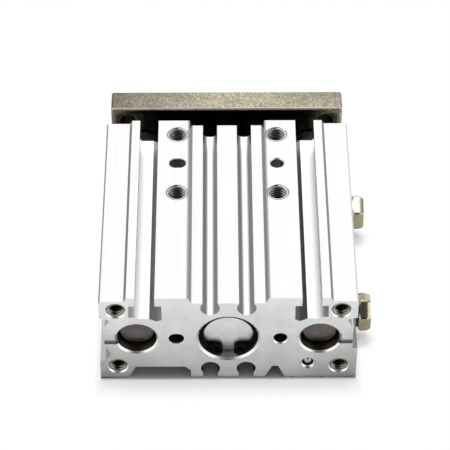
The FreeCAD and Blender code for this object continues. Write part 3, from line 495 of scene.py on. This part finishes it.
def platedSteel():
    # ground and nickel plated: coarse grain with pale sparkles; painted shade where it faces the body and
    # in its threaded holes
    finish, places, facing = plateFinish, platePlaces, plateFacing
    tree = Tree("platedSteel")
    low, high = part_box("tooling_plate")
    vector = tree.coordinates()
    grains = tree.noise(vector, finish["grainScale"], 2, 0.75)
    cloud = tree.noise(vector, finish["cloudScale"], 3, 0.6)
    x, y, z = tree.axes("Object")
    _, normalY, normalZ = tree.axes("Normal")
    colour = tree.tones(grains, finish["dark"], finish["light"], finish["grainStops"])
    sparkles = tree.noise(vector, finish["grainScale"] * finish["sparkleScale"], 1, 0.5)
    colour = tree.mix(tree.step(sparkles, *finish["sparkle"]), colour, finish["sparkleTone"] + (1,))
    leftTone, rightTone = finish["endTones"]
    colour = tree.shade(colour, tree.fade(x, (leftTone, 1.0), places["leftEnd"]))
    colour = tree.shade(colour, tree.fade(x, (1.0, rightTone), places["rightEnd"]))
    colour = tree.shade(colour, tree.span(cloud, *finish["cloudTones"], 0.3, 0.7))
    # painted shade on the face that looks at the body, darkest towards the middle
    isRear = tree.step(normalY, *facing["rear"])
    across = tree.math("ABSOLUTE", x)
    rearPaintedShade = tree.fade(across, finish["rearPaintedShade"], places["rear"])
    smooth = tree.tones(cloud, *(grey(share, finish["dark"]) for share in finish["rearShades"]))
    rear = tree.shade(tree.mix(finish["rearGrain"], smooth, colour), rearPaintedShade)
    colour = tree.mix(isRear, colour, rear)
    # painted shade in the threaded holes
    away = tree.distance(across, tree.math("ABSOLUTE", z), places["holeAxis"])
    isHole = tree.both(tree.below(away, places["holeRadius"]),
                       tree.math("GREATER_THAN", y, low.y + places["holeDepth"] * mm))
    colour = tree.mix(isHole, colour, finish["holePaintedShade"] + (1,))
    # painted highlight on the rounding of the upper edge that faces the body
    isEdge = tree.both(tree.math("LESS_THAN", normalY, facing["edgeBack"]),
                       tree.step(normalZ, *facing["edgeUp"]),
                       tree.math("GREATER_THAN", z, high.z - places["edgeDepth"] * mm))
    colour = tree.mix(isEdge, colour, finish["edge"] + (1,))
    less, more = finish["roughSpread"]
    rough = tree.span(grains, finish["rough"] - less, finish["rough"] + more)
    rough = tree.math("SUBTRACT", rough, tree.math("MULTIPLY", isRear, finish["rearPolish"]))
    return tree.dress(colour, rough, grains, finish["bump"])


# tones of the grain and its scale, roughness, height of the grain in mm, share of metal and specular
speckledFinishes = {
    "black_spring_steel": {"name": "phosphatedSteel", "dark": (0.004, 0.004, 0.004),
                           "light": (0.009, 0.009, 0.009), "scale": 3000, "rough": 0.45,
                           "height": 0.008, "metallic": 0.0, "specular": 0.03},
    "black_rubber": {"name": "blackRubber", "dark": (0.010, 0.010, 0.011),
                     "light": (0.022, 0.022, 0.022), "scale": 2500, "rough": 0.6,
                     "height": 0.008, "metallic": 0.0, "specular": 0.5},
    "bush_bronze": {"name": "bushBronze", "dark": (0.36, 0.24, 0.12),
                    "light": (0.50, 0.36, 0.19), "scale": 3500, "rough": 0.5,
                    "height": 0.01, "metallic": 1.0, "specular": 0.5},
    "magnet": {"name": "magnetCompound", "dark": (0.03, 0.028, 0.027),
               "light": (0.05, 0.047, 0.045), "scale": 3000, "rough": 0.6,
               "height": 0.01, "metallic": 0.1, "specular": 0.5},
    "black_screw": {"name": "oxideBlack", "dark": (0.02, 0.02, 0.022),
                    "light": (0.05, 0.05, 0.052), "scale": 2600, "rough": 0.38,
                    "height": 0.006, "metallic": 0.6, "specular": 0.5},
    "ball_steel": {"name": "ballSteel", "dark": (0.48, 0.46, 0.43),
                   "light": (0.58, 0.56, 0.52), "scale": 1500, "rough": 0.25,
                   "height": 0.002, "metallic": 1.0, "specular": 0.5}}

# what all of them share: stops of the grain, how much coarser the clouds are, and the bump
speckle = {"stops": (0.25, 0.75), "coarser": 9, "roughSpread": 0.08, "bump": 0.5}


def speckledSurface(finish):
    # coated metal, bronze, rubber or moulding with a fine grain
    tree = Tree(finish["name"])
    vector = tree.coordinates()
    grains = tree.noise(vector, finish["scale"], 3, 0.7)
    cloud = tree.noise(vector, finish["scale"] / speckle["coarser"], 4, 0.6)
    colour = tree.tones(grains, finish["dark"], finish["light"], speckle["stops"])
    spread = speckle["roughSpread"]
    rough = tree.span(cloud, finish["rough"] - spread, finish["rough"] + spread)
    tree.shader.inputs["Specular IOR Level"].default_value = finish["specular"]
    return tree.dress(colour, rough, grains, (speckle["bump"], finish["height"]), finish["metallic"])


# plating tones by the way a facet points, as painted light: painted shade on facets that look down and a
# painted white reflection on the front plug's upper facets; brightFrom is a place along Y between the
# plugs, mm
plugFinish = {
    "low": (0.40, 0.36, 0.235), "plain": (0.60, 0.555, 0.40), "bright": (0.97, 0.955, 0.90),
    "grainTone": 0.86, "grainStops": (0.25, 0.75), "grainScale": 500, "cloudScale": 260,
    "plainFacing": (0.0, 0.7), "brightFacing": (0.45, 0.6), "brightLean": (0.30, 0.15),
    "brightFrom": 35, "rough": 0.11, "roughSpread": 0.03, "bump": (0.5, 0.001)}


def platedBrass():
    # bright nickel over brass, with painted shade on facets that look down and a painted reflection on the
    # front plug's upper facets
    finish = plugFinish
    tree = Tree("platedBrass")
    grains = tree.noise(tree.coordinates(), finish["grainScale"], 3, 0.7)
    cloud = tree.noise(tree.coordinates(), finish["cloudScale"], 4, 0.6)
    _, y, _ = tree.axes("Object")
    normalX, _, normalZ = tree.axes("Normal")

    def plating(colour):
        return tree.tones(grains, grey(finish["grainTone"], colour), colour, finish["grainStops"])

    # painted shade: facets that look down take the darker tone
    isPlain = tree.step(normalZ, *finish["plainFacing"])
    colour = tree.mix(isPlain, plating(finish["low"]), plating(finish["plain"]))
    # painted reflection: the front plug's upper facets turn white
    isBright = tree.both(tree.step(normalZ, *finish["brightFacing"]), tree.above(y, finish["brightFrom"]),
                         tree.step(tree.math("ABSOLUTE", normalX), *finish["brightLean"]))
    colour = tree.mix(isBright, colour, plating(finish["bright"]))
    spread = finish["roughSpread"]
    rough = tree.span(cloud, finish["rough"] - spread, finish["rough"] + spread)
    return tree.dress(colour, rough, grains, finish["bump"])


# tones between the rings, roughness, how far the axis lies from the middle in mm, and the tone of
# ground sides where there are any
turnedFinishes = {
    "chromed_rod": {"name": "chromedRod", "dark": (0.12, 0.107, 0.103), "light": (0.205, 0.186, 0.18),
                    "rough": 0.32, "axis": 20.5, "ground": (0.62, 0.60, 0.58)},
    "cover_aluminium": {"name": "coverAluminium", "dark": (0.80, 0.81, 0.80),
                        "light": (0.98, 0.99, 0.98), "rough": 0.42, "axis": 0, "ground": None}}

# what both share; pitch and wobble of the rings in mm
turning = {"pitch": 0.2, "wobble": 0.12, "wobbleScale": 500, "cloudScale": 420,
           "shares": (0.12, 0.88), "blot": 0.35, "groundFacing": (0.6, 0.4), "groundTone": 0.94,
           "roughSpread": 0.08, "bump": (0.3, 0.004)}


def turnedMetal(finish):
    # faced in a lathe: fine rings about the piece's own axis, blotched by handling
    tree = Tree(finish["name"])
    vector = tree.coordinates()
    x, _, z = tree.axes("Object")
    reach = tree.distance(tree.math("ABSOLUTE", x), z, (finish["axis"], 0))
    wobble = tree.math("MULTIPLY", tree.noise(vector, turning["wobbleScale"], 2, 0.5),
                       turning["wobble"] * mm)
    turns = tree.math("MULTIPLY", tree.math("ADD", reach, wobble), 2 * math.pi / (turning["pitch"] * mm))
    rings = tree.span(tree.math("SINE", turns), 0.0, 1.0, -1.0, 1.0)
    cloud = tree.noise(vector, turning["cloudScale"], 4, 0.65)
    ringShare, cloudShare = turning["shares"]
    tone = tree.math("ADD", tree.math("MULTIPLY", rings, ringShare),
                     tree.math("MULTIPLY", cloud, cloudShare))
    half = turning["blot"] / 2
    colour = tree.tones(tone, finish["dark"], finish["light"], (0.5 - half, 0.5 + half))
    ground = finish["ground"]
    if ground:
        _, normalY, _ = tree.axes("Normal")
        isSide = tree.step(tree.math("ABSOLUTE", normalY), *turning["groundFacing"])
        colour = tree.mix(isSide, colour, tree.tones(cloud, grey(turning["groundTone"], ground), ground))
    spread = turning["roughSpread"]
    rough = tree.span(cloud, finish["rough"] - spread, finish["rough"] + spread, 0.3, 0.7)
    return tree.dress(colour, rough, rings, turning["bump"])


# height of a ridge in mm, half its width at the root and how much narrower the crest is as shares
# of the pitch, how far its root lies behind the wall in mm, steps to a turn and weld distance in mm
threadShape = {"ridge": 0.36, "rootHalf": 0.46, "crestLess": 0.38, "sink": 0.02, "steps": 28, "weld": 0.001}

# plane and centres of the holes and radius of their threads in mm, tones of crest and root as painted
# highlight and painted shade
threadFinishes = {
    "faceThread": {"axes": "XY", "centres": [(11.65, 34), (11.65, 54)], "radius": 2.5,
                   "crest": (0.92, 0.93, 0.92), "root": (0.10, 0.10, 0.095)},
    "rearThread": {"axes": "XZ", "centres": [(25, 9)], "radius": 2.0,
                   "crest": (0.60, 0.55, 0.48), "root": (0.02, 0.018, 0.015)},
    "plateThread": {"axes": "XZ", "centres": [(24, 7)], "radius": 2.0,
                    "crest": (0.10, 0.09, 0.07), "root": (0.02, 0.018, 0.014)}}

# what they share; places in mm, from the hole's axis or along it
threadShades = {"soft": 0.04, "aside": (0.5, 1.7), "mouth": (12.0, 12.7), "dim": 0.85,
                "firstTurns": (2.2, 0.9), "crestTone": 0.85, "rootTone": 0.7, "scratchScale": 2600,
                "rough": (0.22, 0.36), "bump": (0.2, 0.004)}


def cutThread(name):
    # painted highlight on the crests and painted shade in the roots, told apart by the distance from the
    # nearest hole's axis
    finish, shared = threadFinishes[name], threadShades
    tree = Tree(name)
    place = dict(zip("XYZ", tree.axes("Object")))
    centres, radius, soft = finish["centres"], finish["radius"], shared["soft"]
    first = tree.math("ABSOLUTE", place[finish["axes"][0]])
    second = place[finish["axes"][1]]
    if finish["axes"] == "XZ":
        second = tree.math("ABSOLUTE", second)
    reach = tree.distance(first, second, centres[0])
    for centre in centres[1:]:
        reach = tree.math("MINIMUM", reach, tree.distance(first, second, centre))
    depth = tree.edge(reach, (radius - threadShape["ridge"] + soft, radius - soft))
    if name == "faceThread":
        # the wall's middle looks back at the dark side of the room
        offset = tree.math("SUBTRACT", first, centres[0][0] * mm)
        aside = tree.edge(tree.math("ABSOLUTE", offset), shared["aside"])
        aside = tree.math("MAXIMUM", aside, tree.edge(place["Z"], shared["mouth"]))
        depth = tree.math("MAXIMUM", depth, tree.math("MULTIPLY", tree.opposite(aside), shared["dim"]))
    else:
        # only the first turns catch the light
        depth = tree.math("MAXIMUM", depth, tree.opposite(tree.edge(place["Y"], shared["firstTurns"])))
    scratches = tree.noise(tree.coordinates(), shared["scratchScale"], 4, 0.6)
    bright = tree.tones(scratches, grey(shared["crestTone"], finish["crest"]), finish["crest"])
    dark = tree.tones(scratches, grey(shared["rootTone"], finish["root"]), finish["root"])
    # painted highlight on the crests, painted shade in the roots
    colour = tree.mix(depth, bright, dark)
    return tree.dress(colour, tree.span(scratches, *shared["rough"]), scratches, shared["bump"])


def makeMaterials():
    made = {"anodised_aluminium": anodisedAluminium(), "plated_steel": platedSteel(),
            "plated_brass": platedBrass()}
    for slot, finish in turnedFinishes.items():
        made[slot] = turnedMetal(finish)
    for slot, finish in speckledFinishes.items():
        made[slot] = speckledSurface(finish)
    for name in threadFinishes:
        made[name] = cutThread(name)
    return made


def dressNodes(materials):
    slots = {part["node"]: part["material_slot"] for part in frame["record"]["subparts"]}
    for name, node in frame["nodes"].items():
        node.data.materials.clear()
        node.data.materials.append(materials[slots[name]])


def threadTree():
    # a helical ridge in a hole along local Z, placed on every point of the mesh that it is given
    group = bpy.data.node_groups.new("screwThread", "GeometryNodeTree")
    face = group.interface
    face.new_socket("Points", in_out="INPUT", socket_type="NodeSocketGeometry")
    for name, kind in (("Radius", "Float"), ("Ridge", "Float"), ("Pitch", "Float"), ("Length", "Float"),
                       ("Steps", "Int"), ("Turn", "Vector"), ("Finish", "Material")):
        face.new_socket(name, in_out="INPUT", socket_type="NodeSocket" + kind)
    face.new_socket("Thread", in_out="OUTPUT", socket_type="NodeSocketGeometry")
    start = group.nodes.new("NodeGroupInput").outputs

    def add(kind, outlet=0, settings=None, **inputs):
        made = group.nodes.new(kind)
        for name, value in (settings or {}).items():
            setattr(made, name, value)
        for name, value in inputs.items():
            isNumbered = name[0] == "i" and name[1:].isdigit()
            socket = made.inputs[int(name[1:]) if isNumbered else name.replace("_", " ")]
            if isinstance(value, bpy.types.NodeSocket):
                group.links.new(value, socket)
            else:
                socket.default_value = value
        return made.outputs[outlet]

    def calculate(operation, *values):
        numbered = {"i%d" % i: value for i, value in enumerate(values)}
        return add("ShaderNodeMath", 0, {"operation": operation}, **numbered)

    # grid: X runs along the helix, Y round the ridge's closed section of four corners
    turns = calculate("ADD", calculate("CEIL", calculate("DIVIDE", start["Length"], start["Pitch"])), 1)
    columns = calculate("ADD", calculate("MULTIPLY", turns, start["Steps"]), 1)
    grid = add("GeometryNodeMeshGrid", 0, None, Size_X=1, Size_Y=1, Vertices_X=columns, Vertices_Y=5)
    place = group.nodes.new("ShaderNodeSeparateXYZ")
    group.links.new(group.nodes.new("GeometryNodeInputPosition").outputs[0], place.inputs[0])
    along = calculate("MULTIPLY", calculate("ADD", place.outputs["X"], 0.5), turns)
    # corners 1 and 2 make the crest, 2 and 3 the side away from the mouth
    corner = calculate("MULTIPLY", calculate("ADD", place.outputs["Y"], 0.5), 4)
    atCrest = calculate("LESS_THAN", calculate("ABSOLUTE", calculate("SUBTRACT", corner, 1.5)), 0.75)
    isUpper = calculate("LESS_THAN", calculate("ABSOLUTE", calculate("SUBTRACT", corner, 2.5)), 0.75)
    side = calculate("SUBTRACT", calculate("MULTIPLY", isUpper, 2), 1)
    narrower = calculate("MULTIPLY", atCrest, threadShape["crestLess"])
    reach = calculate("SUBTRACT", threadShape["rootHalf"], narrower)
    shift = calculate("MULTIPLY", calculate("MULTIPLY", side, reach), start["Pitch"])
    level = calculate("MULTIPLY", calculate("SUBTRACT", along, 0.5), start["Pitch"])
    level = calculate("ADD", level, shift)
    level = calculate("MINIMUM", calculate("MAXIMUM", level, 0), start["Length"])
    radius = calculate("SUBTRACT", start["Radius"], calculate("MULTIPLY", atCrest, start["Ridge"]))
    angle = calculate("MULTIPLY", along, 2 * math.pi)
    point = add("ShaderNodeCombineXYZ", 0, None, Z=level,
                X=calculate("MULTIPLY", radius, calculate("COSINE", angle)),
                Y=calculate("MULTIPLY", radius, calculate("SINE", angle)))
    wound = add("GeometryNodeSetPosition", 0, None, Geometry=grid, Position=point)
    welded = add("GeometryNodeMergeByDistance", 0, None, Geometry=wound, Distance=threadShape["weld"] * mm)
    placed = add("GeometryNodeInstanceOnPoints", 0, None, Points=start["Points"], Instance=welded,
                 Rotation=start["Turn"])
    real = add("GeometryNodeRealizeInstances", 0, None, Geometry=placed)
    finished = add("GeometryNodeSetMaterial", 0, None, Geometry=real, Material=start["Finish"])
    group.links.new(finished, group.nodes.new("NodeGroupOutput").inputs[0])
    return group


# start and length along the hole from its mouth, mm
threads = {
    "cylinderThreads": {"body": "cylinder", "slot": "anodised_aluminium", "holes": [
        {"mount": "rear_threads", "finish": "rearThread", "radius": 2.0, "pitch": 0.7,
         "start": 0.3, "length": 9.6},
        {"mount": "face_threads", "finish": "faceThread", "radius": 2.5, "pitch": 0.8,
         "start": 0.1, "length": 9.8},
        {"mount": "rear_under_port", "finish": "rearThread", "radius": 2.5, "pitch": 0.8,
         "start": 0.15, "length": 4.0},
        {"mount": "front_under_port", "finish": "rearThread", "radius": 2.5, "pitch": 0.8,
         "start": 0.15, "length": 4.0}]},
    "carriageThreads": {"body": "carriage", "slot": "plated_steel", "holes": [
        {"mount": "tool_threads", "finish": "plateThread", "radius": 2.0, "pitch": 0.7,
         "start": 0.2, "length": 6.1}]}}


def threadPlaces(mount, start):
    # mouths of a mount's holes and the way into the material
    centre, axis = Vector(mount["pos_m"]), Vector(mount["axis"])
    if "spacing_x_mm" in mount["dims"]:
        wide = Vector((mount["dims"]["spacing_x_mm"] * mm / 2, 0, 0))
        high = axis.cross(Vector((1, 0, 0))) * (mount["dims"]["spacing_y_mm"] * mm / 2)
        centres = [centre + wide * i + high * j for i in (-1, 1) for j in (-1, 1)]
    else:
        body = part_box("body")
        centres = [Vector((centre.x, centre.y, body[0].z))]
    return [place - axis * start * mm for place in centres], -axis


def makeThreads(materials):
    group = threadTree()
    sockets = {item.name: item.identifier for item in group.interface.items_tree
               if item.item_type == "SOCKET" and item.in_out == "INPUT"}
    mounts = {mount["name"]: mount for mount in frame["record"]["mounts"]}
    for name, made in threads.items():
        whole = bmesh.new()
        finishes = sorted({hole["finish"] for hole in made["holes"]})
        for hole in made["holes"]:
            places, inward = threadPlaces(mounts[hole["mount"]], hole["start"])
            turn = Vector((0, 0, 1)).rotation_difference(inward).to_euler()
            points = bpy.data.meshes.new("threadPoints")
            points.from_pydata(places, [], [])
            carrier = bpy.data.objects.new("threadPoints", points)
            bpy.context.collection.objects.link(carrier)
            modifier = carrier.modifiers.new("thread", "NODES")
            modifier.node_group = group
            values = {"Radius": (hole["radius"] + threadShape["sink"]) * mm,
                      "Ridge": (threadShape["ridge"] + threadShape["sink"]) * mm,
                      "Pitch": hole["pitch"] * mm, "Length": hole["length"] * mm,
                      "Steps": threadShape["steps"], "Turn": tuple(turn),
                      "Finish": materials[hole["finish"]]}
            for key, value in values.items():
                modifier[sockets[key]] = value
            evaluated = carrier.evaluated_get(bpy.context.evaluated_depsgraph_get())
            shape = bpy.data.meshes.new_from_object(evaluated)
            known = len(whole.faces)
            whole.from_mesh(shape)
            whole.faces.ensure_lookup_table()
            for facet in whole.faces[known:]:
                facet.material_index = finishes.index(hole["finish"])
            bpy.data.objects.remove(carrier)
            bpy.data.meshes.remove(shape)
        bmesh.ops.recalc_face_normals(whole, faces=whole.faces)
        mesh = bpy.data.meshes.new(name)
        whole.to_mesh(mesh)
        whole.free()
        for finish in finishes:
            mesh.materials.append(materials[finish])
        piece = bpy.data.objects.new(name, mesh)
        bpy.context.collection.objects.link(piece)
        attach(piece, made["body"])
        print(name, len(mesh.polygons), "faces")


# pieces whose edges are rounded to catch the light: radius and weld distance in mm, angles in degrees
rounded = {"tooling_plate": {"body": "carriage", "slot": "plated_steel", "radius": 0.22, "segments": 3,
                             "roundFrom": 28, "sharpFrom": 40, "flatWithin": 1, "weld": 0.0005}}


def makeRoundedPieces(materials):
    for node, made in rounded.items():
        shape = bmesh.new()
        shape.from_mesh(frame["nodes"][node].data)
        bmesh.ops.remove_doubles(shape, verts=shape.verts, dist=made["weld"] * mm)
        bmesh.ops.dissolve_limit(shape, angle_limit=math.radians(made["flatWithin"]),
                                 verts=shape.verts, edges=shape.edges)
        mesh = bpy.data.meshes.new(node + "_round")
        shape.to_mesh(mesh)
        shape.free()
        piece = bpy.data.objects.new(node + "_round", mesh)
        bpy.context.collection.objects.link(piece)
        bevel = piece.modifiers.new("bevel", "BEVEL")
        bevel.width = made["radius"] * mm
        bevel.segments = made["segments"]
        bevel.limit_method = "ANGLE"
        bevel.angle_limit = math.radians(made["roundFrom"])
        evaluated = piece.evaluated_get(bpy.context.evaluated_depsgraph_get())
        finished = bpy.data.meshes.new_from_object(evaluated)
        piece.modifiers.clear()
        piece.data = finished
        finished.materials.clear()
        finished.materials.append(materials[made["slot"]])
        finished.shade_smooth()
        finished.set_sharp_from_angle(angle=math.radians(made["sharpFrom"]))
        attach(piece, made["body"])
        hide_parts(node)
        print(piece.name, len(finished.polygons), "faces")


# hexagon plugs, mm: a flat's angle from +Y, distance across flats, how far the flats fall off to
# the outer face and from what share of the head's height, how soft the edges are, and the bevels
plugs = {"turn": {"rear_port_plug": 7, "front_port_plug": -9}, "flats": 7.8, "fall": 0.13,
         "fallStart": 0.42, "fallPower": 2.2, "inner": 4.05, "innerBevel": 0.5, "innerRise": 0.45,
         "corner": 4.42, "cornerFall": 0.35, "soft": 0.05, "around": 120, "along": 16,
         "spacing": 0.8, "stem": 2.4, "stemBevel": 0.3, "faceBevel": 0.25, "sharpFrom": 50}


def softMinimum(values, soft):
    least = min(values)
    return least - soft * math.log(sum(math.exp((least - value) / soft) for value in values))


def makePlugs(materials):
    for node, turn in plugs["turn"].items():
        low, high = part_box(node)
        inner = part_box(node.split("_")[0] + "_plug_gasket")[1].x
        centre = (low + high) / 2
        around = plugs["around"]
        angles = [2 * math.pi * i / around for i in range(around)]

        def headRadius(angle, share, height):
            offFlat = (math.degrees(angle) - turn + 30) % 60 - 30
            fall = max(0.0, (share - plugs["fallStart"]) / (1 - plugs["fallStart"])) ** plugs["fallPower"]
            flat = plugs["flats"] / 2 / math.cos(math.radians(offFlat)) * (1 - plugs["fall"] * fall)
            bevel = plugs["inner"] + height / plugs["innerBevel"] * plugs["innerRise"]
            corner = plugs["corner"] - plugs["cornerFall"] * fall
            return softMinimum((flat, bevel, corner), plugs["soft"])

        height = (high.x - inner) / mm
        rings = [(low.x / mm, [plugs["stem"] - plugs["stemBevel"]] * around),
                 (low.x / mm + plugs["stemBevel"], [plugs["stem"]] * around),
                 (inner / mm, [plugs["stem"]] * around)]
        for step in range(plugs["along"] + 1):
            share = (step / plugs["along"]) ** plugs["spacing"]
            radii = [headRadius(angle, share, share * height) for angle in angles]
            rings.append((inner / mm + share * height, radii))
        rings.append((high.x / mm, [radius - plugs["faceBevel"] for radius in rings[-1][1]]))
        shape = bmesh.new()
        rows = [[shape.verts.new((x * mm, centre.y + radius * mm * math.cos(angle),
                                  centre.z + radius * mm * math.sin(angle)))
                 for angle, radius in zip(angles, radii)] for x, radii in rings]
        for lower, upper in zip(rows, rows[1:]):
            for i in range(around):
                j = (i + 1) % around
                shape.faces.new((lower[i], lower[j], upper[j], upper[i]))
        shape.faces.new(rows[0])
        shape.faces.new(rows[-1])
        bmesh.ops.recalc_face_normals(shape, faces=shape.faces)
        mesh = bpy.data.meshes.new(node + "_round")
        shape.to_mesh(mesh)
        shape.free()
        mesh.shade_smooth()
        mesh.set_sharp_from_angle(angle=math.radians(plugs["sharpFrom"]))
        mesh.materials.append(materials["plated_brass"])
        piece = bpy.data.objects.new(node + "_round", mesh)
        bpy.context.collection.objects.link(piece)
        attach(piece, "cylinder")
        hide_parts(node)
        print(piece.name, len(mesh.polygons), "faces")


print("camera, floor and light")
makeCamera()
makeFloor()
makeWorld()
makeLamp()
print("materials")
materials = makeMaterials()
dressNodes(materials)
print("screw threads")
makeThreads(materials)
print("plate and plugs")
makeRoundedPieces(materials)
makePlugs(materials)
bpy.context.scene.view_settings.view_transform = "Standard"
